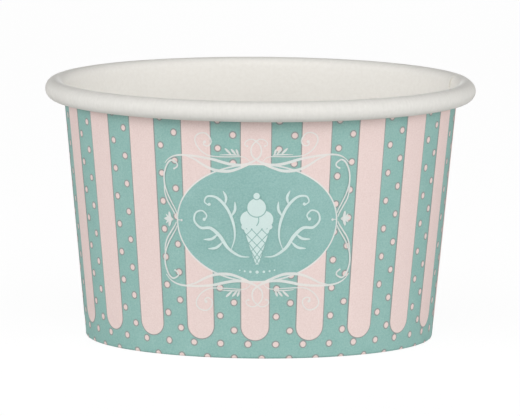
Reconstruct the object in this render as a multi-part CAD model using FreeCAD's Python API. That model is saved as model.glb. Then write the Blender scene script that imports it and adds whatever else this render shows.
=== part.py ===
import FreeCAD, Part
import math
import os

# Paper dessert cup: a squat, tapered tub for one serving of ice cream, made from two blanks of
# coated board. All sizes are in millimetres. The cup stands on z = 0, on its own axis, with +Z up
# and its printed front towards -Y.
#
# sidewall  One sheet. A fan-shaped blank is wrapped into a cone and lapped along a side seam, a
#           little behind the cup's right side. Its lower edge turns in under the foot and back up
#           as a hem, and its upper edge rolls outward into the rim.
# bottom    One sheet. A disc whose edge is turned down as a skirt. The skirt stands in the slot
#           between the wall and the hem.

# The cup
rim_radius = 42.5  # over the rolled rim
cup_height = 51.0  # from the table to the top of the rim
foot_radius = 34.2  # over the wall where it turns under

# The two boards
wall_board = 0.38
bottom_board = 0.34
seal_gap = 0.03  # film between two boards that are sealed to each other

# The rolled rim
roll_radius = 2.0  # over the roll, in section
roll_gap = 0.1  # between the tucked-in end of the roll and the wall
roll_tuck = 100.0  # degrees that the end of the roll turns on, inside it

# The foot
hem_height = 5.0  # from the table to the free edge of the hem
fold_inside = 0.06  # bend on the inner side of the folded board

# The bottom
bottom_lift = 1.0  # from the free edge of the hem to the underside of the bottom
bottom_bend = 0.45  # bend on the inner side of the board
skirt_end_gap = 0.3  # below the skirt, to the fold under it

# Bends
bend_sag = 0.07  # most that the equal flat steps of a bend cut inside its round

# The side seam
seam_place = 20.0  # degrees round from +X, to the middle of the lap
seam_lap = 7.0  # width of the glued lap, at the foot
seam_rise = 11.0  # width over which the outer end climbs on to the inner one, at the foot
seam_press = 0.03  # by which the glued lap is pressed thinner than two boards

# The wall's line is tangent to the bend of the fold and to the roll, which gives its slope.
fold_radius = fold_inside + wall_board / 2
fold_outside = fold_inside + wall_board
roll_line = roll_radius - wall_board / 2
slot_width = bottom_board + 2 * seal_gap
fold_centre = (foot_radius - fold_outside, fold_outside)
roll_centre = (rim_radius - roll_radius, cup_height - roll_radius)
across = roll_centre[0] - fold_centre[0]
up = roll_centre[1] - fold_centre[1]
slope = math.atan2(across, up) - math.asin((fold_radius + roll_line) / math.hypot(across, up))
wall_heading = math.pi / 2 - slope

# The tucked-in end of the roll turns on inside it. The seam shows from the bend of the fold up to
# the level where that end is nearest to the wall.
tuck_line = roll_line - wall_board - roll_gap
seam_foot = fold_centre[1]
seam_top = roll_centre[1] - roll_line + tuck_line


def wall_line_radius(z):
    """Radius of the middle of the wall board at height z."""
    touch = step_from(fold_centre, -slope, fold_radius)
    return touch[0] + (z - touch[1]) * math.tan(slope)


def step_from(point, heading, length):
    return (point[0] + length * math.cos(heading), point[1] + length * math.sin(heading))


def section_point(point):
    """A point of a section, given as radius and height, in the XZ plane."""
    return FreeCAD.Vector(point[0], 0, point[1])


class Sheet:
    """A board in section, walked along its middle line: each side is kept as a row of edges."""

    def __init__(self, start, heading, thickness):
        self.at = start
        self.heading = heading
        self.half = thickness / 2
        self.sides = {1: [], -1: []}  # left and right of the walk
        self.starts = {side: self.beside(side) for side in self.sides}
        self.ends = dict(self.starts)

    def beside(self, side):
        return step_from(self.at, self.heading + side * math.pi / 2, self.half)

    def add_line(self, side, end):
        self.sides[side].append(Part.makeLine(section_point(self.ends[side]), section_point(end)))
        self.ends[side] = end

    def run(self, length):
        """A straight stretch."""
        self.at = step_from(self.at, self.heading, length)
        for side in self.sides:
            self.add_line(side, self.beside(side))

    def bend(self, radius, turn):
        """A bend of the middle line in equal flat steps, to the left where turn is positive."""
        way = math.copysign(1, turn)
        centre = step_from(self.at, self.heading + way * math.pi / 2, radius)
        out = self.heading - way * math.pi / 2  # from the centre to the board
        for side in self.sides:
            reach = radius - side * way * self.half
            widest_step = 2 * math.acos(1 - min(bend_sag / reach, 1))
            steps = math.ceil(abs(turn) / widest_step)
            for step in range(1, steps + 1):
                self.add_line(side, step_from(centre, out + turn * step / steps, reach))
        self.at = step_from(centre, out + turn, radius)
        self.heading += turn

    def turned(self):
        """The board turned once round the cup's axis."""
        far_cut = Part.makeLine(section_point(self.ends[1]), section_point(self.ends[-1]))
        near_cut = Part.makeLine(section_point(self.starts[-1]), section_point(self.starts[1]))
        edges = self.sides[1] + [far_cut] + self.sides[-1] + [near_cut]
        face = Part.Face(Part.Wire(Part.__sortEdges__(edges)))
        return face.revolve(FreeCAD.Vector(0, 0, 0), FreeCAD.Vector(0, 0, 1), 360)


def make_cone():
    """The wall's board, from the free edge of the hem, under the foot and up, to the end of the roll."""
    flat = (slot_width - 2 * fold_inside) / math.cos(slope)
    inner_centre = (fold_centre[0] - flat, fold_centre[1])
    hem_foot = step_from(inner_centre, wall_heading + math.pi / 2, fold_radius)
    hem_run = (hem_height - hem_foot[1]) / math.cos(slope)
    sheet = Sheet(step_from(hem_foot, wall_heading, hem_run), wall_heading - math.pi, wall_board)
    sheet.run(hem_run)
    sheet.bend(fold_radius, math.pi / 2 + slope)
    sheet.run(flat)
    sheet.bend(fold_radius, math.pi / 2 - slope)
    roll_foot = step_from(roll_centre, math.pi - slope, roll_line)
    sheet.run(math.dist(sheet.at, roll_foot))
    sheet.bend(roll_line, slope - math.pi / 2)  # to the top of the rim
    sheet.bend(roll_line, -math.pi / 2)  # to the widest of the rim
    sheet.bend(roll_line, -math.pi / 2)  # to the underside of the roll
    sheet.bend(tuck_line, -math.radians(roll_tuck))
    return sheet.turned()


def seam_point(radius, angle, z):
    return FreeCAD.Vector(radius * math.cos(angle), radius * math.sin(angle), z)


def seam_wedge(side, lap):
    """What the climb of the outer end adds outside the wall, or leaves free inside it.

    side is 1 for the wall's outside and -1 for its inside. The wedge starts within the board, or
    as far inside it, climbs past the surface to the height of one pressed board at the inner end's
    raw edge, and runs on from there for the angle lap.
    """
    inner_edge = math.radians(seam_place) - seam_lap / foot_radius / 2
    start = inner_edge - seam_rise / foot_radius
    half = wall_board / 2 / math.cos(slope)
    outlines = []
    for z in (seam_foot, seam_top):
        low = wall_line_radius(z) + (side - 1) * half
        high = low + half + wall_board - seam_press
        climb = [(low, start), ((low + high) / 2, (start + inner_edge) / 2), (high, inner_edge)]
        edges = [Part.Arc(*[seam_point(*place, z) for place in climb]).toShape()]
        raw_edge = inner_edge + lap
        if lap:
            level = [(high, inner_edge + share * lap) for share in (0, 0.5, 1)]
            edges.append(Part.Arc(*[seam_point(*place, z) for place in level]).toShape())
        edges.append(Part.makeLine(seam_point(high, raw_edge, z), seam_point(low, raw_edge, z)))
        back = [(low, raw_edge), (low, (raw_edge + start) / 2), (low, start)]
        edges.append(Part.Arc(*[seam_point(*place, z) for place in back]).toShape())
        outlines.append(Part.Wire(edges))
    return Part.makeLoft(outlines, True, True)


def make_sidewall():
    """The cone, with the outer end of the sheet lapped over the inner one along the side seam."""
    outer_end = seam_wedge(1, seam_lap / foot_radius)
    free_inside = seam_wedge(-1, 0)
    return make_cone().fuse(outer_end).cut(free_inside)


def make_bottom():
    """The disc and its skirt, which runs down the slot beside the wall."""
    middle = hem_height + bottom_lift + bottom_board / 2
    bend = bottom_bend + bottom_board / 2
    gap = (wall_board / 2 + seal_gap + bottom_board / 2) / math.cos(slope)
    # The skirt's line, and where the disc's level line turns into it
    turn = math.pi / 2 + slope
    corner = wall_line_radius(middle) - gap
    sheet = Sheet((0, middle), 0, bottom_board)
    sheet.run(corner - bend * math.tan(turn / 2))
    sheet.bend(bend, -turn)
    skirt_end = fold_outside - fold_inside + skirt_end_gap
    sheet.run((sheet.at[1] - skirt_end) / math.cos(slope))
    return sheet.turned()


os.makedirs("parts", exist_ok=True)
for name, make in (("sidewall", make_sidewall), ("bottom", make_bottom)):
    solid = make()
    solid.exportStep(f"parts/{name}.step")
    box = solid.BoundBox
    print(name, "solids", len(solid.Solids), "valid", solid.isValid(), "volume", round(solid.Volume, 1),
          "x", round(box.XMin, 3), round(box.XMax, 3), "z", round(box.ZMin, 3), round(box.ZMax, 3))
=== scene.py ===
import math
import random

import bmesh
import bpy
from mathutils import Matrix, Vector


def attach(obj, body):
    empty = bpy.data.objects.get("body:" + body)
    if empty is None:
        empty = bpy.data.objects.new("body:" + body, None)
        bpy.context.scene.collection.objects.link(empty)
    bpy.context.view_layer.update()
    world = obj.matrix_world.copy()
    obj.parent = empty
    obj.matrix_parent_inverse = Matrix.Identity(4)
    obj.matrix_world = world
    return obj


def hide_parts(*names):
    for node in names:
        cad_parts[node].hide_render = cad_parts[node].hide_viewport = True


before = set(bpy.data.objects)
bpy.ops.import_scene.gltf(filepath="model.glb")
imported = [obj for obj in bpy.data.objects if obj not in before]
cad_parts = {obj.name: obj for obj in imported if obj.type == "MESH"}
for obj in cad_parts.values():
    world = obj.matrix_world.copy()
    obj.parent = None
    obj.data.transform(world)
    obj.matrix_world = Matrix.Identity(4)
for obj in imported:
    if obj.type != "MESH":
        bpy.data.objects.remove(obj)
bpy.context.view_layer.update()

# Wall of the cup: one fan-shaped blank of coated board, printed on its outer side and wrapped into a
# cone with a glued side seam. Its lower edge is turned in and back up as a hem, and its upper edge is
# rolled outward into the rim, so the rim shows the board's plain side. Sizes are in millimetres.

rim_radius = 42.5
cup_height = 51.0
foot_radius = 34.2
wall_board = 0.38
roll_radius = 2.0
roll_gap = 0.1
roll_tuck = math.radians(100)
hem_height = 5.0
fold_inside = 0.06
slot_width = 0.4

seam_place = math.radians(20)  # middle of the lap, round from +X
seam_lap = 7.0 / foot_radius  # angle of the lap
seam_rise = 11.0 / foot_radius  # angle over which the outer end climbs on to the inner one
lap_press = 0.08  # share of the board's thickness that is pressed away in the lap, on the wall
roll_press = 0.88  # and on the roll
press_reach = 2.0  # length of the roll over which the one goes over into the other
lap_gap = 0.004

fold_line = fold_inside + wall_board / 2
roll_line = roll_radius - wall_board / 2
tuck_line = roll_line - wall_board - roll_gap
fold_centre = (foot_radius - fold_inside - wall_board, fold_inside + wall_board)
roll_centre = (rim_radius - roll_radius, cup_height - roll_radius)
across = roll_centre[0] - fold_centre[0]
up = roll_centre[1] - fold_centre[1]
slope = math.atan2(across, up) - math.asin((fold_line + roll_line) / math.hypot(across, up))


def step_from(point, heading, length):
    return (point[0] + length * math.cos(heading), point[1] + length * math.sin(heading))


def ease(share):
    share = min(max(share, 0), 1)
    return share * share * (3 - 2 * share)


class BoardLine:
    """The middle line of a board in section: points, each with the way to the printed side, the length
    of board up to it and the part of the sheet that it is in."""

    def __init__(self, start, heading, part):
        self.at = start
        self.heading = heading
        self.points = []
        self.length = 0
        self.mark(part)

    def mark(self, part):
        away = (math.sin(self.heading), -math.cos(self.heading))
        self.points.append((self.at, away, self.length, part))

    def run(self, length, pieces, part):
        for _ in range(pieces):
            self.at = step_from(self.at, self.heading, length / pieces)
            self.length += length / pieces
            self.mark(part)

    def bend(self, radius, turn, pieces, part):
        way = math.copysign(1, turn)
        centre = step_from(self.at, self.heading + way * math.pi / 2, radius)
        for _ in range(pieces):
            self.heading += turn / pieces
            self.at = step_from(centre, self.heading - way * math.pi / 2, radius)
            self.length += radius * abs(turn) / pieces
            self.mark(part)


def wall_section():
    """The wall's board, from the free edge of the hem, under the foot and up, to the end of the roll."""
    flat = (slot_width - 2 * fold_inside) / math.cos(slope)
    up_wall = math.pi / 2 - slope
    inner_centre = (fold_centre[0] - flat, fold_centre[1])
    hem_foot = step_from(inner_centre, up_wall + math.pi / 2, fold_line)
    hem_run = (hem_height - hem_foot[1]) / math.cos(slope)
    line = BoardLine(step_from(hem_foot, up_wall, hem_run), up_wall - math.pi, "hem")
    line.run(hem_run, 4, "hem")
    line.bend(fold_line, math.pi / 2 + slope, 5, "fold")
    line.run(flat, 1, "fold")
    line.bend(fold_line, math.pi / 2 - slope, 5, "fold")
    roll_foot = step_from(roll_centre, math.pi - slope, roll_line)
    line.run(0.5, 2, "wall")  # in short pieces where the lap is pressed flat
    line.run(math.dist(line.at, roll_foot), 15, "wall")
    line.bend(roll_line, slope - 1.5 * math.pi, 26, "roll")
    line.bend(tuck_line, -roll_tuck, 9, "tuck")
    return line.points


inner_edge = seam_place - seam_lap / 2  # angles of the wrap at which the sheet begins and ends
outer_edge = seam_place + seam_lap / 2 + 2 * math.pi
fold_squeeze = 0.26  # by which the inner end is pressed up into the foot where it is lapped
squeeze_top = 0.9  # height at which that begins
squeeze_reach = 0.7  # and over which it eases in
section = wall_section()
roll_start = next(mark[2] for mark in section if mark[3] == "roll")


def climb(angle):
    """How far the outer end of the sheet has climbed on to the inner one, at an angle of the wrap."""
    return ease((angle - inner_edge - 2 * math.pi) / seam_rise + 1)


def covered(angle):
    """How far the inner end of the sheet is covered by the outer one, at an angle of the wrap."""
    return 1 - ease((angle - seam_place - seam_lap / 2) / seam_rise)


def face_lift(angle, side, press):
    """How far the printed (1) or the plain (-1) face lies from the board's middle line."""
    onto = climb(angle)
    under = covered(angle)
    thick = wall_board * (1 - press * max(onto, under))
    return onto * (thick + lap_gap) - wall_board / 2 + (thick if side > 0 else 0)


def foot_lift(lift, angle, side, z):
    """The same distance where the lap is pressed flat in the foot, with its middle line at height z."""
    flat_lift = side * wall_board / 2 - fold_squeeze * covered(angle)
    return lift + (flat_lift - lift) * ease((squeeze_top - z) / squeeze_reach)


def sheet_point(angle, mark, side):
    """A point of the sheet's printed (1) or plain (-1) face, at an angle of the wrap."""
    (radius, z), (away_r, away_z), length, part = mark
    press = lap_press + (roll_press - lap_press) * ease((length - roll_start) / press_reach)
    lift = face_lift(angle, side, press)
    if part != "hem":
        lift = foot_lift(lift, angle, side, z)
    radius += lift * away_r
    return Vector((radius * math.cos(angle), radius * math.sin(angle), z + lift * away_z)) * 0.001


weld_reach = 2e-8  # metres within which points of a mesh are one
sharp_from = math.radians(38)  # angle between faces from which an edge is sharp


def add_piece(name, points, faces, face_finishes, finishes, uvs=None):
    """A piece of the given faces, each in the finish that its number gives."""
    mesh = bpy.data.meshes.new(name)
    mesh.from_pydata(points, [], faces)
    for finish in finishes:
        mesh.materials.append(finish.material)
    mesh.polygons.foreach_set("material_index", face_finishes)
    mesh.polygons.foreach_set("use_smooth", [True] * len(faces))
    if uvs:
        layer = mesh.uv_layers.new(name="wrap")
        for loop in mesh.loops:
            layer.uv[loop.index].vector = uvs[loop.vertex_index]
    form = bmesh.new()
    form.from_mesh(mesh)
    bmesh.ops.remove_doubles(form, verts=form.verts, dist=weld_reach)
    form.to_mesh(mesh)
    form.free()
    mesh.set_sharp_from_angle(angle=sharp_from)
    piece = bpy.data.objects.new(name, mesh)
    bpy.context.scene.collection.objects.link(piece)
    return piece


class Socket:
    """An output of a node in a finish, on which sums are written as sums."""

    def __init__(self, finish, output):
        self.finish = finish
        self.output = output

    def __add__(self, other):
        return self.finish.sum("ADD", self, other)

    def __radd__(self, other):
        return self.finish.sum("ADD", other, self)

    def __sub__(self, other):
        return self.finish.sum("SUBTRACT", self, other)

    def __rsub__(self, other):
        return self.finish.sum("SUBTRACT", other, self)

    def __mul__(self, other):
        return self.finish.sum("MULTIPLY", self, other)

    def __rmul__(self, other):
        return self.finish.sum("MULTIPLY", other, self)


class Finish:
    """A material, whose nodes are added one by one to its surface shader."""

    def __init__(self, name, **constants):
        self.material = bpy.data.materials.new(name)
        self.material.use_nodes = True
        self.tree = self.material.node_tree
        self.surface = self.tree.nodes["Principled BSDF"]
        for socket, value in constants.items():
            self.surface.inputs[socket.replace("_", " ")].default_value = value

    def node(self, kind, settings, sockets, output=0):
        """One output of a new node, with its settings made first and then its sockets filled."""
        made = self.tree.nodes.new(kind)
        for name, value in settings.items():
            setattr(made, name, value)
        for name, value in sockets.items():
            self.feed(made.inputs[name], value)
        return Socket(self, made.outputs[output])

    def sum(self, operation, first, second):
        return self.node("ShaderNodeMath", {"operation": operation}, {0: first, 1: second})

    def feed(self, entry, value):
        if isinstance(value, Socket):
            self.tree.links.new(value.output, entry)
        else:
            entry.default_value = value

    def set(self, **sockets):
        """Fills sockets of the surface shader."""
        for name, value in sockets.items():
            self.feed(self.surface.inputs[name.replace("_", " ")], value)

    def place(self):
        """Where a point lies on the object, in metres."""
        return self.node("ShaderNodeTexCoord", {}, {}, "Object")

    def speckle(self, scale, detail, place=None):
        """Even noise, 0 to 1."""
        sockets = {"Vector": place or self.place(), "Scale": scale, "Detail": detail}
        return self.node("ShaderNodeTexNoise", {}, sockets)

    def blend(self, share, first, second):
        """A colour between two, at a share of the way."""
        sockets = {"Factor": share, "A": first, "B": second}
        return self.node("ShaderNodeMix", {"data_type": "RGBA"}, sockets, "Result")

    def relief(self, height, depth):
        """Roughens the surface by a depth in millimetres."""
        sockets = {"Height": height, "Strength": 1.0, "Distance": depth * 0.001}
        self.set(Normal=self.node("ShaderNodeBump", {}, sockets))


def colour(red, green, blue):
    """A colour as it looks on a screen, 0 to 255, turned to the linear values of a shader."""
    parts = [value / 255 for value in (red, green, blue)]
    return (*(p / 12.92 if p <= 0.04045 else ((p + 0.055) / 1.055) ** 2.4 for p in parts), 1)


def make_ink(name):
    """A matt ink on coated board, which shows the board's fine relief."""
    ink = Finish(name, Roughness=0.6, Specular_IOR_Level=0.25)
    ink.relief(ink.speckle(2600, 4), 0.010)
    return ink


printed = make_ink("teal print")
mottle = printed.speckle(3400, 3) * 0.7 + printed.speckle(260, 2) * 0.3
printed.set(Base_Color=printed.blend(mottle, colour(113, 166, 159), colour(174, 208, 201)))

uv_span = 100  # millimetres of board to one unit of the wrap's second coordinate
rim_fade = 2.5  # length of board over which the inside's look goes over into the rim's

plain = Finish("plain board", Roughness=0.62, Specular_IOR_Level=0.25)
wrap = plain.node("ShaderNodeUVMap", {"uv_map": "wrap"}, {})
along = plain.node("ShaderNodeSeparateXYZ", {}, {0: wrap}, "Y")
on_rim = plain.node("ShaderNodeMapRange", {"interpolation_type": "SMOOTHSTEP"}, {
    "Value": along, "From Min": roll_start / uv_span, "From Max": (roll_start + rim_fade) / uv_span})
streaked = plain.node("ShaderNodeVectorMath", {"operation": "MULTIPLY"}, {0: wrap, 1: (620, 34, 1)})
streaks = plain.speckle(1, 3, streaked)
patches = plain.speckle(90, 2)
fibre = plain.speckle(1500, 4)
inside = plain.blend(fibre, colour(236, 233, 227), colour(246, 244, 239))
outside = plain.blend(fibre * 0.5 + streaks * 0.5, colour(219, 217, 211), colour(238, 236, 231))
plain.set(Base_Color=plain.blend(on_rim, inside, outside))
plain.relief(plain.speckle(900, 5) * 0.4 + streaks * on_rim * patches * 1.4, 0.03)

raw = Finish("cut edge of the board", Roughness=0.85, Specular_IOR_Level=0.2)
raw.set(Base_Color=raw.blend(raw.speckle(4000, 4), colour(222, 219, 211), colour(240, 238, 232)))
raw.relief(raw.speckle(5000, 3), 0.02)

column_step = math.radians(1.25)
columns = math.ceil((outer_edge - inner_edge) / column_step)
rows = len(section)
tuck_from = next(row for row, mark in enumerate(section) if mark[3] == "tuck") - 1
tuck_stub = 0.06  # share of the tucked-in end that is left in the lap
mitre = 0.5 * seam_rise  # angle over which it is cut down to that


def tuck_cut(angle):
    """Share of the tucked-in end that is left: it is mitred off where the outer end covers it."""
    return tuck_stub + (1 - tuck_stub) * ease((angle - seam_place - seam_lap / 2) / mitre)


def along_section(place):
    """The section's mark at a place between two of its rows."""
    low = min(int(place), rows - 2)
    share = place - low
    first, second = section[low], section[low + 1]
    point = tuple(a + share * (b - a) for a, b in zip(first[0], second[0]))
    away = tuple(a + share * (b - a) for a, b in zip(first[1], second[1]))
    length = first[2] + share * (second[2] - first[2])
    return point, away, length, second[3]


points, uvs = [], []
for side in (1, -1):
    for column in range(columns + 1):
        angle = inner_edge + (outer_edge - inner_edge) * column / columns
        for row in range(rows):
            place = row if row <= tuck_from else tuck_from + (row - tuck_from) * tuck_cut(angle)
            mark = along_section(place)
            points.append(sheet_point(angle, mark, side))
            uvs.append((angle / (2 * math.pi), mark[2] / uv_span))


def corner(side, column, row):
    return (side * (columns + 1) + column) * rows + row


faces, kinds = [], []
for column in range(columns):
    for row in range(rows - 1):
        ring = [(column, row), (column + 1, row), (column + 1, row + 1), (column, row + 1)]
        faces.append([corner(0, *place) for place in ring])
        faces.append([corner(1, *place) for place in reversed(ring)])
        kinds += [0, 1]
    for row, first, second in ((0, 1, 0), (rows - 1, 0, 1)):
        faces.append([corner(first, column, row), corner(first, column + 1, row),
                      corner(second, column + 1, row), corner(second, column, row)])
        kinds.append(2)
for row in range(rows - 1):
    for column, first, second in ((0, 0, 1), (columns, 1, 0)):
        faces.append([corner(first, column, row), corner(first, column, row + 1),
                      corner(second, column, row + 1), corner(second, column, row)])
        kinds.append(2)
wall = add_piece("printed_sheet", points, faces, kinds, [printed, plain, raw], uvs)
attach(wall, "root")
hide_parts("sidewall")


# Bottom of the cup: a round blank of plain coated board, drawn into a shallow disc with a skirt turned
# down. The skirt is sealed in the slot between the wall and its hem.

bottom_board = 0.34
bottom_lift = 1.0
bottom_bend = 0.45
seal_gap = 0.03
skirt_end = 0.68  # height of the skirt's free edge
sag = 0.25  # of the middle of the disc
hub = 0.01  # radius of the small flat in the very middle of the mesh


def wall_line_radius(z):
    """Radius of the middle of the wall board at height z."""
    touch = step_from(fold_centre, -slope, fold_line)
    return touch[0] + (z - touch[1]) * math.tan(slope)


bottom_middle = hem_height + bottom_lift + bottom_board / 2
bend_line = bottom_bend + bottom_board / 2
skirt_gap = (wall_board / 2 + seal_gap + bottom_board / 2) / math.cos(slope)
turn = math.pi / 2 + slope
disc_radius = wall_line_radius(bottom_middle) - skirt_gap - bend_line * math.tan(turn / 2)
disc = BoardLine((hub, bottom_middle), 0, "disc")
disc.run(disc_radius - hub, 28, "disc")
disc.bend(bend_line, -turn, 7, "disc")
disc.run((disc.at[1] - skirt_end) / math.cos(slope), 4, "skirt")

bottom_finish = Finish("bottom board", Roughness=0.62, Specular_IOR_Level=0.25)
weave = bottom_finish.speckle(1500, 4)
bottom_finish.set(Base_Color=bottom_finish.blend(weave, colour(234, 231, 225), colour(245, 243, 238)))
bottom_finish.relief(bottom_finish.speckle(900, 5), 0.012)

spokes = 180
points, faces, kinds = [], [], []
for side in (-1, 1):
    for spoke in range(spokes):
        angle = 2 * math.pi * spoke / spokes
        for (radius, z), (away_r, away_z), _, part in disc.points:
            lift = side * bottom_board / 2
            dip = sag * (1 - ease(radius / disc_radius)) if part == "disc" else 0
            radius += lift * away_r
            height = z + lift * away_z - dip
            points.append(Vector((radius * math.cos(angle), radius * math.sin(angle), height)) * 0.001)
disc_rows = len(disc.points)


def disc_corner(side, spoke, row):
    return (side * spokes + spoke % spokes) * disc_rows + row


for spoke in range(spokes):
    for row in range(disc_rows - 1):
        ring = [(spoke, row), (spoke, row + 1), (spoke + 1, row + 1), (spoke + 1, row)]
        faces.append([disc_corner(0, *place) for place in ring])
        faces.append([disc_corner(1, *place) for place in reversed(ring)])
        kinds += [0, 0]
    last = disc_rows - 1
    faces.append([disc_corner(0, spoke, last), disc_corner(1, spoke, last),
                  disc_corner(1, spoke + 1, last), disc_corner(0, spoke + 1, last)])
    kinds.append(1)
for side in (0, 1):
    middle = [disc_corner(side, spoke, 0) for spoke in range(spokes)]
    faces.append(middle if side == 0 else middle[::-1])
    kinds.append(0)
base = add_piece("bottom_board", points, faces, kinds, [bottom_finish, raw])
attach(base, "root")
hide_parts("bottom")


# Stripes: twenty bands of pale pink ink, which widen with the wall and end in a round a little above
# the foot. A thin grey-mauve line of ink runs round each.

print_middle = math.radians(-91.25)
stripes_before, stripes_after = 13, 6  # stripes on the sheet, to either side of the middle one
pitch_foot, pitch_growth = 17.78, 0.22  # degrees from stripe to stripe, and what that gains to the top
stripe_half_top = math.radians(4.37)
stripe_half_foot = math.radians(4.38)
stripe_foot = 3.68
stripe_steps = 8  # lengths in which a stripe is laid up the wall
print_skew = 0.17  # by which the print hangs lower on the cup's right side
print_lean = 0.0017  # angle by which it leans over from the top to the foot
lean_pivot = 0.6  # share of the print's height at which it stands true
stripe_draw = 0.0066  # angle by which the stripes at either side are drawn towards the front
line_width = 0.2
ink_lift = 0.02
fold_reach = math.radians(50)  # as far round the fold as the ink is drawn
print_top = roll_centre[1] - 0.6  # the print runs on up behind the roll
wall_touch = step_from(fold_centre, -slope, fold_line + wall_board / 2)


def face_radius(z):
    """Radius of the wall's printed face at height z."""
    return wall_touch[0] + (z - wall_touch[1]) * math.tan(slope)


def stripe_pitch(z):
    """Angle from stripe to stripe: they converge a little more than the wall does."""
    return math.radians(pitch_foot + pitch_growth * z / print_top)


def print_place(angle, z):
    """A place in the print, shifted as the skewed print is."""
    lean = print_lean * (lean_pivot - z / print_top)
    return (print_middle + angle - lean, z - print_skew * math.sin(angle))


def stripe_angle(stripe, z):
    """Middle of a stripe, from the middle of the print."""
    angle = stripe * stripe_pitch(z)
    return angle - stripe_draw * math.sin(angle)


def on_wall(angle, z, lift):
    """A point of the printed side, at an angle of the wrap and a height that runs on round the fold."""
    wrap = (angle - outer_edge) % (2 * math.pi) + outer_edge - 2 * math.pi
    below = max(wall_touch[1] - z, 0) / math.cos(slope)
    bend = slope + min(below / (fold_line + wall_board / 2), fold_reach)
    if below:
        radius, height = step_from(fold_centre, -bend, fold_line)
    else:
        height = z + wall_board / 2 * math.sin(slope)
        radius = wall_line_radius(height)
    out = lift + foot_lift(face_lift(wrap, 1, lap_press), wrap, 1, height)
    radius += out * math.cos(bend)
    height -= out * math.sin(bend)
    return Vector((radius * math.cos(angle), radius * math.sin(angle), height)) * 0.001


class Film:
    """Ink lying on the wall, as strips between places that are given by angle and height."""

    def __init__(self):
        self.points = []
        self.faces = []

    def strip(self, left, right, lift):
        """A band of quads between two rows of places."""
        first = len(self.points)
        for row in zip(left, right):
            self.points += [on_wall(*place, lift) for place in row]
        for step in range(len(left) - 1):
            low = first + 2 * step
            self.faces.append([low, low + 1, low + 3, low + 2])

    def made(self, name, finish):
        piece = add_piece(name, self.points, self.faces, [0] * len(self.faces), [finish])
        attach(piece, "root")


def stripe_edge(share, grow):
    """One line of a stripe, from its round end to the top, at a share of its half width."""
    round_end = stripe_half_foot * foot_radius + grow
    foot_z = stripe_foot + round_end * (1 - math.sqrt(max(1 - share * share, 0))) - grow
    places = []
    for step in range(stripe_steps + 1):
        z = foot_z + (print_top - foot_z) * step / stripe_steps
        half = stripe_half_foot + (stripe_half_top - stripe_half_foot) * z / print_top
        places.append((share * (half + grow / face_radius(z)), z))
    return places


def lay_stripes(film, grow, lift):
    """All stripes, each a little wider all round by grow."""
    shares = [math.sin(math.radians(a)) for a in range(-90, 91, 12)]
    for stripe in range(-stripes_before, stripes_after + 1):
        rows = [[print_place(stripe_angle(stripe, z) + a, z) for a, z in stripe_edge(share, grow)]
                for share in shares]
        for left, right in zip(rows, rows[1:]):
            film.strip(left, right, lift)


pink_ink = make_ink("pink ink")
grain = pink_ink.speckle(3400, 3)
pink_ink.set(Base_Color=pink_ink.blend(grain, colour(225, 201, 195), colour(245, 226, 222)))

line_ink = make_ink("mauve ink")
grain = line_ink.speckle(5200, 3)
line_ink.set(Base_Color=line_ink.blend(grain, colour(138, 146, 144), colour(164, 167, 164)))

lines = Film()
lay_stripes(lines, line_width, ink_lift)
stripes = Film()
lay_stripes(stripes, 0, 2 * ink_lift)


# Dots: small spots of the same pink ink between the stripes, in two columns to a gap and in staggered
# rows, each with a thin grey-mauve line round it.

dot_radius = 0.545
dot_line = 0.245
dot_shift = math.radians(0.02)
dot_pitch = 5.515
dot_foot = 2.88  # height of the first row in every second column
dot_edge = 0.05  # and in the others, where it is cut by the foot's edge
dot_rows = 9
dot_spread = 0.0075  # angle by which the lowest dots at either side are drawn away from the front
spread_top = 14  # height above which none are
dot_unevenness = 0.06  # most, as a share, that a dot is wider or narrower than it should be
dot_corners = 18
edge_rings = 5  # rings in which a dot is laid on the foot's edge, so that it follows the fold


def lay_dots(film, grow, lift):
    """All dots, each a little out of round in its own way."""
    chance = random.Random(5)
    turns = [2 * math.pi * n / dot_corners for n in range(dot_corners + 1)]
    for column in range(-4 * stripes_before - 2, 4 * stripes_after + 2):
        under_stripe = column % 4 in (0, 3)
        for row in range(1 if under_stripe else dot_rows):
            z = (dot_foot if column % 2 else dot_edge) + dot_pitch * row
            middle = dot_shift + (column + 0.5) * stripe_pitch(z) / 4
            middle += dot_spread * max(1 - z / spread_top, 0) * math.sin(middle)
            wide = dot_radius * (1 + chance.uniform(-dot_unevenness, dot_unevenness)) + grow
            high = dot_radius * (1 + chance.uniform(-dot_unevenness, dot_unevenness)) + grow
            if z > print_top - high:
                continue
            wide_angle = wide / face_radius(z)
            rings = edge_rings if z < 1 else 1
            rows = [[print_place(middle + ring / rings * wide_angle * math.cos(t),
                                 z + ring / rings * high * math.sin(t)) for t in turns]
                    for ring in range(rings + 1)]
            for inner, outer in zip(rows, rows[1:]):
                film.strip(inner, outer, lift)


lay_dots(lines, dot_line, ink_lift)
lines.made("mauve_lines", line_ink)
lay_dots(stripes, 0, 2 * ink_lift)
stripes.made("pink_print", pink_ink)


# Label on the front: an oval of the teal ink with a thin off-white line round it, in a frame of
# traditional scrolls, and in it a small motif of an ice cream in a wafer. It was drawn on the flat
# blank, so it lies on the wall as a flat drawing does when the blank is wrapped.

label_middle = print_middle + math.radians(0.37)
label_height = 26.9
label_tilt = 0.012
label_half_width = 15.75
label_half_height = 11.5
label_line = 0.3
label_rings = 14  # rings in which the oval is laid, so that it follows the wall
oval_corners = 120
spot_corners = 24
apex = face_radius(label_height) / math.sin(slope)


def on_blank(x, y):
    """A place on the wall for a point of the flat blank, from the middle of the label."""
    across = x * math.cos(label_tilt) - y * math.sin(label_tilt)
    along = apex + x * math.sin(label_tilt) + y * math.cos(label_tilt)
    angle = label_middle + math.atan2(across, along) / math.sin(slope)
    return (angle, label_height + (math.hypot(across, along) - apex) * math.cos(slope))


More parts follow.
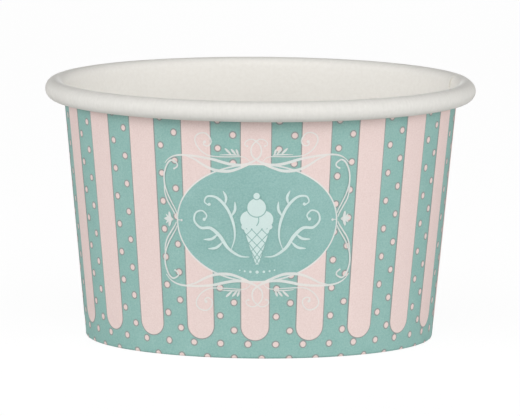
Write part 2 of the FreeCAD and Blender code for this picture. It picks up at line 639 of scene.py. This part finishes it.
def oval_ring(grow, share=1.0):
    """The label's oval, wider all round by grow, or a share of it."""
    turns = [2 * math.pi * n / oval_corners for n in range(oval_corners + 1)]
    wide, high = (label_half_width + grow) * share, (label_half_height + grow) * share
    return [(wide * math.cos(t), high * math.sin(t)) for t in turns]


def smooth_path(points, pieces=6):
    """A curve through all the points, each stretch of it in equal pieces."""
    padded = [points[0], *points, points[-1]]
    curve = []
    for a, b, c, d in zip(padded, padded[1:], padded[2:], padded[3:]):
        for piece in range(pieces):
            t = piece / pieces
            curve.append(tuple(
                0.5 * (2 * q + (r - p) * t + (2 * p - 5 * q + 4 * r - s) * t * t
                       + (3 * q - p - 3 * r + s) * t ** 3)
                for p, q, r, s in zip(a, b, c, d)))
    return curve + [points[-1]]


class Drawing:
    """Shapes drawn on the blank, each in an ink and a little above the last."""

    def __init__(self, lift, rise):
        self.films = {}
        self.lift = lift
        self.rise = rise

    def band(self, ink, first, second):
        """A band between two rows of points of the blank."""
        film = self.films.setdefault(ink, Film())
        film.strip([on_blank(*p) for p in first], [on_blank(*p) for p in second], self.lift)

    def stroke(self, ink, points, widths, mirrors):
        """A stroke through the points, its width going evenly through the widths, with round ends."""
        curve = smooth_path(points)
        last = len(curve) - 1
        left, right = [], []
        for n, (x, y) in enumerate(curve):
            before, after = curve[max(n - 1, 0)], curve[min(n + 1, last)]
            heading = math.atan2(after[1] - before[1], after[0] - before[0])
            place = n / last * (len(widths) - 1)
            low = min(int(place), len(widths) - 2)
            half = (widths[low] + (place - low) * (widths[low + 1] - widths[low])) / 2
            slants = {0: (0, 30, 60, 90), last: (90, 120, 150, 180)}.get(n, (90,))
            for slant in slants:
                for side, way in ((left, 1), (right, -1)):
                    out = heading + math.pi - way * math.radians(slant)
                    side.append((x + half * math.cos(out), y + half * math.sin(out)))
        for across, along in mirrors:
            self.band(ink, *([(across * u, along * v) for u, v in side] for side in (left, right)))
            self.lift += self.rise

    def spot(self, ink, x, y, radius, mirrors=((1, 1),), rings=1):
        """A round spot, in rings where it is wide, so that it follows the wall."""
        turns = [2 * math.pi * n / spot_corners for n in range(spot_corners + 1)]
        for across, along in mirrors:
            rows = [[(across * (x + radius * ring / rings * math.cos(t)),
                      along * (y + radius * ring / rings * math.sin(t))) for t in turns]
                    for ring in range(rings + 1)]
            for inner, outer in zip(rows, rows[1:]):
                self.band(ink, inner, outer)
            self.lift += self.rise


def midpoint(first, second):
    return ((first[0] + second[0]) / 2, (first[1] + second[1]) / 2)


four_ways = ((1, 1), (-1, 1), (1, -1), (-1, -1))  # mirrored across and up and down
two_ways = ((1, 1), (-1, 1))  # mirrored across

# The oval with its line round it
label = Drawing(3 * ink_lift, 0.01)
label.band("pale", oval_ring(0, 0.99), oval_ring(label_line))
label.lift += label.rise
for ring in range(label_rings):
    label.band("teal", oval_ring(0, ring / label_rings), oval_ring(0, (ring + 1) / label_rings))
label.lift += label.rise
label.rise = 0.0008

# Waved lines over and under the oval, which end in a small loop in the middle
label.stroke("pale", [
    (18.5, 11.1), (17.7, 11.95), (16.6, 12.6), (15.0, 12.95), (12.6, 12.95), (10.4, 12.75), (8.4, 12.45),
    (6.5, 11.95), (4.8, 11.6), (3.0, 11.5), (1.4, 11.85), (0, 12.6), (-0.8, 13.4), (-1.0, 14.4),
    (-0.75, 15.4), (0, 16.2), (0.7, 16.6), (1.5, 16.5), (2.15, 15.95), (2.1, 15.4), (1.75, 15.2)],
    (0.14, 0.32, 0.46, 0.56, 0.56, 0.38, 0.26, 0.26, 0.2, 0.14), four_ways)
label.spot("pale", 1.72, 15.25, 0.2, four_ways)
label.stroke("pale", [
    (14.2, 12.95), (12.2, 12.3), (10.8, 11.5), (9.4, 10.8), (8.0, 10.35), (6.5, 10.2), (5.0, 10.3),
    (3.6, 10.75), (2.3, 11.25), (1.4, 11.6)], (0.2, 0.44, 0.54, 0.6, 0.5, 0.18), four_ways)

# Curls that stand on them, and sprigs between curl and loop
label.stroke("pale", [
    (1.2, 12.1), (1.9, 12.85), (3.0, 13.15), (6.0, 13.05), (8.7, 13.1), (10.0, 13.5), (11.2, 14.4),
    (12.0, 15.7), (11.95, 16.8), (11.1, 17.5), (10.0, 17.6), (9.2, 17.0), (8.8, 16.1), (9.05, 15.35),
    (9.7, 15.05), (10.25, 15.3), (10.3, 15.75)], (0.12, 0.22, 0.26, 0.28, 0.28, 0.26, 0.24), four_ways)
label.spot("pale", 10.1, 15.85, 0.3, four_ways)
label.stroke("pale", [(3.3, 13.45), (5.2, 13.5), (7.1, 13.4)], (0.22, 0.28, 0.1), four_ways)
for foot, tip in (((4.9, 13.6), (6.0, 14.65)), ((4.0, 13.6), (4.8, 14.55)), ((3.5, 13.6), (3.85, 14.5))):
    label.stroke("pale", [foot, midpoint(foot, tip), tip], (0.14, 0.4, 0.46, 0.26), four_ways)

# Double lines down both sides, with a palmette and a small dot where they meet
label.stroke("pale", [
    (16.5, 10.1), (15.85, 10.6), (15.9, 11.2), (16.9, 11.75), (17.75, 11.25), (18.35, 10.1), (18.7, 8.7),
    (18.65, 7.0), (18.3, 5.8), (17.8, 4.6), (17.0, 3.2), (16.3, 2.0), (16.0, 1.3)],
    (0.3, 0.3, 0.36, 0.34, 0.32, 0.28, 0.22), four_ways)
label.spot("pale", 16.5, 10.12, 0.2, four_ways)
label.stroke("pale", [(18.66, 7.0), (18.65, 5.6), (18.15, 3.9), (17.3, 2.5), (16.5, 1.25), (16.15, 0.5)],
             (0.1, 0.3, 0.32, 0.28, 0.18), four_ways)
label.stroke("pale", [(17.0, 0), (17.7, 0), (18.75, 0)], (0.5, 0.95, 0.85, 0.15), two_ways)
label.stroke("pale", [(17.1, 0), (17.5, 0.6), (17.65, 1.3)], (0.3, 0.46, 0.6, 0.35), four_ways)
label.stroke("pale", [(17.2, 0), (17.9, 0.4), (18.35, 0.85)], (0.2, 0.4, 0.36, 0.12), four_ways)
label.stroke("pale", [(15.7, 0), (15.4, 0), (15.1, 0)], (0.16, 0.16), two_ways)
label.spot("pale", 15.0, 0, 0.24, two_ways)

# The wafer, with its crossed lines
wafer_top, wafer_foot = (2.6, -0.9), (0.28, -8.2)


def down_wafer(share):
    """The line down the wafer at a share of its half width, from its brim to its tip."""
    return [(share * (wafer_top[0] + t / 8 * (wafer_foot[0] - wafer_top[0])),
             wafer_top[1] + t / 8 * (wafer_foot[1] - wafer_top[1])) for t in range(9)]


for share in (-1, -0.75, -0.5, -0.25, 0, 0.25, 0.5, 0.75):
    label.band("mint", down_wafer(share), down_wafer(share + 0.25))
label.lift += 3 * label.rise
for low, high in (((-2.1, -2.4), (-0.6, -0.9)), ((-1.6, -4.0), (1.3, -0.9)),
                  ((-1.15, -5.6), (2.35, -1.9)), ((-0.65, -7.1), (1.85, -3.6)),
                  ((-0.3, -8.0), (1.3, -5.3))):
    label.stroke("teal", [low, midpoint(low, high), high], (0.16, 0.16), two_ways)

# Three scoops and a cherry, each with a line of teal round it, and the scoops' lower edge
for x, y, radius in ((1.45, 0.7, 1.75), (-1.45, 0.7, 1.75), (0, 3.1, 1.8), (0, 5.4, 0.62)):
    label.lift += 2 * label.rise
    label.spot("teal", x, y, radius + 0.2, rings=4)
    label.lift += 2 * label.rise
    label.spot("mint", x, y, radius, rings=4)
for x in (-2.5, -1.5, -0.5, 0.5, 1.5, 2.5):
    label.spot("mint", x, -0.75, 0.52)

# Scrolls with leaves to either side, and a row of dots underneath
label.stroke("mint", [
    (1.5, -6.7), (3.4, -6.5), (5.6, -5.0), (7.2, -2.7), (9.0, -1.2), (11.0, -1.2), (12.3, 0.1),
    (12.0, 1.7), (10.7, 2.2), (9.8, 1.3), (10.2, 0.4)],
    (0.12, 0.5, 0.72, 0.6, 0.42, 0.34, 0.3, 0.24), two_ways)
label.spot("mint", 10.3, 0.5, 0.32, two_ways)
label.stroke("mint", [
    (5.0, -5.3), (4.3, -3.0), (4.5, -0.2), (5.7, 2.8), (7.7, 4.9), (9.6, 5.1), (10.2, 4.0), (9.3, 3.3)],
    (0.12, 0.34, 0.56, 0.56, 0.4, 0.28, 0.22), two_ways)
label.spot("mint", 9.25, 3.55, 0.3, two_ways)
for foot, bow, tip in (((7.6, -2.3), (8.8, -3.3), (10.4, -3.5)), ((6.6, -3.8), (7.9, -5.0), (9.5, -5.3)),
                       ((5.0, 1.2), (4.2, 2.6), (4.2, 4.2)), ((6.2, 3.6), (5.9, 5.0), (6.5, 6.3))):
    label.stroke("mint", [foot, bow, tip], (0.12, 0.5, 0.5, 0.12), two_ways)
label.spot("mint", 0, -9.7, 0.32)
for x, radius in ((1.3, 0.25), (2.4, 0.2), (3.35, 0.15)):
    label.spot("mint", x, -9.7 + 0.03 * x * x, radius, two_ways)

# The off-white ink is thin, so it takes a little of the teal or the pink under it
pale_ink = make_ink("off-white ink")
east = pale_ink.node("ShaderNodeSeparateXYZ", {}, {0: pale_ink.place()}, "X")
north = pale_ink.node("ShaderNodeSeparateXYZ", {}, {0: pale_ink.place()}, "Y")
label_pitch = stripe_angle(1, label_height)
all_stripes = stripes_before + stripes_after + 1  # added to the count, which keeps it above 0
round_from_front = pale_ink.sum("ARCTAN2", north, east) - print_middle
in_stripes = round_from_front * (1 / label_pitch) + (all_stripes + 0.5)
from_stripe = pale_ink.sum("ABSOLUTE", pale_ink.sum("FRACT", in_stripes, 0) - 0.5, 0)
over_teal = pale_ink.sum("GREATER_THAN", from_stripe, stripe_half_top / label_pitch)
speck = pale_ink.speckle(3900, 3)
tinted_pink = pale_ink.blend(speck, colour(226, 221, 216), colour(242, 238, 234))
tinted_teal = pale_ink.blend(speck, colour(214, 218, 214), colour(230, 234, 231))
pale_ink.set(Base_Color=pale_ink.blend(over_teal, tinted_pink, tinted_teal))
label.films["pale"].made("scroll_frame", pale_ink)

label_ink = make_ink("label teal ink")
cloudy = label_ink.speckle(3400, 3) * 0.7 + label_ink.speckle(200, 2) * 0.3
label_ink.set(Base_Color=label_ink.blend(cloudy, colour(111, 163, 157), colour(175, 210, 205)))
label.films["teal"].made("label_oval", label_ink)

mint_ink = make_ink("mint ink")
grain = mint_ink.speckle(5200, 3)
mint_ink.set(Base_Color=mint_ink.blend(grain, colour(206, 226, 222), colour(220, 237, 234)))
label.films["mint"].made("label_motif", mint_ink)


# Studio: a plain pale floor, soft light from the front, above and both sides and a little from behind,
# and a long lens that looks down on the cup by seven degrees. Lamps and camera are placed in metres.

floor_mesh = bpy.data.meshes.new("floor")
floor_mesh.from_pydata([(-3, -3, 0), (3, -3, 0), (3, 3, 0), (-3, 3, 0)], [], [(0, 1, 2, 3)])
floor = bpy.data.objects.new("floor", floor_mesh)
bpy.context.scene.collection.objects.link(floor)

floor_white = 0.85  # share of plain white in the floor that the camera sees
air_light = 0.172  # what the air sheds on the cup, where the camera sees it at 1
lamp_aim = Vector((0, 0, 0.03))

floor_paint = Finish("floor paint", Roughness=0.9, Base_Color=(0.8, 0.8, 0.8, 1))
seen = floor_paint.node("ShaderNodeLightPath", {}, {}, "Is Camera Ray")
glow = floor_paint.node("ShaderNodeEmission", {}, {"Color": (1, 1, 1, 1), "Strength": 1.08})
paint = Socket(floor_paint, floor_paint.surface.outputs[0])
mixed = floor_paint.node("ShaderNodeMixShader", {}, {0: seen * floor_white, 1: paint, 2: glow})
exit_node = floor_paint.tree.nodes["Material Output"]
floor_paint.tree.links.new(mixed.output, exit_node.inputs["Surface"])
floor_mesh.materials.append(floor_paint.material)


class Air(Finish):
    """The light that the world sheds, whose nodes are added as a finish's are."""

    def __init__(self, name):
        self.world = bpy.data.worlds.new(name)
        self.world.use_nodes = True
        self.tree = self.world.node_tree
        self.surface = self.tree.nodes["Background"]


air = Air("studio air")
bpy.context.scene.world = air.world
seen = air.node("ShaderNodeLightPath", {}, {}, "Is Camera Ray")
air.set(Color=(1, 1, 1, 1), Strength=seen + (1 - seen) * air_light)


def add_lamp(name, place, size, power):
    """A square lamp with soft light, turned to the cup."""
    lamp = bpy.data.lights.new(name, "AREA")
    lamp.shape = "SQUARE"
    lamp.size = size
    lamp.energy = power
    holder = bpy.data.objects.new(name, lamp)
    holder.location = place
    holder.rotation_euler = (lamp_aim - Vector(place)).to_track_quat("-Z", "Y").to_euler()
    bpy.context.scene.collection.objects.link(holder)


add_lamp("front", (0.0, -1.4, 0.45), 0.8, 1.6)
add_lamp("front_left", (-1.05, -0.95, 0.6), 0.8, 5.55)
add_lamp("front_right", (1.05, -0.95, 0.6), 0.8, 4.4)
add_lamp("left", (-1.4, -0.25, 0.5), 0.8, 6.0)
add_lamp("right", (1.4, -0.25, 0.5), 0.8, 4.4)
add_lamp("above", (0.0, -1.05, 0.95), 0.8, 4.75)
add_lamp("low_right", (1.2, -0.7, 0.12), 0.8, 3.5)
add_lamp("back", (0.0, 1.4, 0.08), 0.16, 3.0)

view_distance = 1.8
view_down = 0.1235  # angle by which the camera looks down
view_roll = 0.0066
view_height = 0.02529  # of the point that it looks at
view_side = 0.0000426  # of the camera, to the right
frame_width = 520  # pixels
focal_length = 9106.2  # pixels
lens = bpy.data.cameras.new("camera")
lens.sensor_width = 36
lens.lens = focal_length * lens.sensor_width / frame_width
lens.clip_start = 0.05
lens.clip_end = 20
camera = bpy.data.objects.new("camera", lens)
place = Vector((view_side, -view_distance * math.cos(view_down),
                view_height + view_distance * math.sin(view_down)))
turned = Matrix.Rotation(math.pi / 2 - view_down, 4, "X") @ Matrix.Rotation(view_roll, 4, "Z")
camera.matrix_world = Matrix.Translation(place) @ turned
bpy.context.scene.collection.objects.link(camera)
bpy.context.scene.camera = camera
bpy.context.scene.view_settings.view_transform = "Standard"
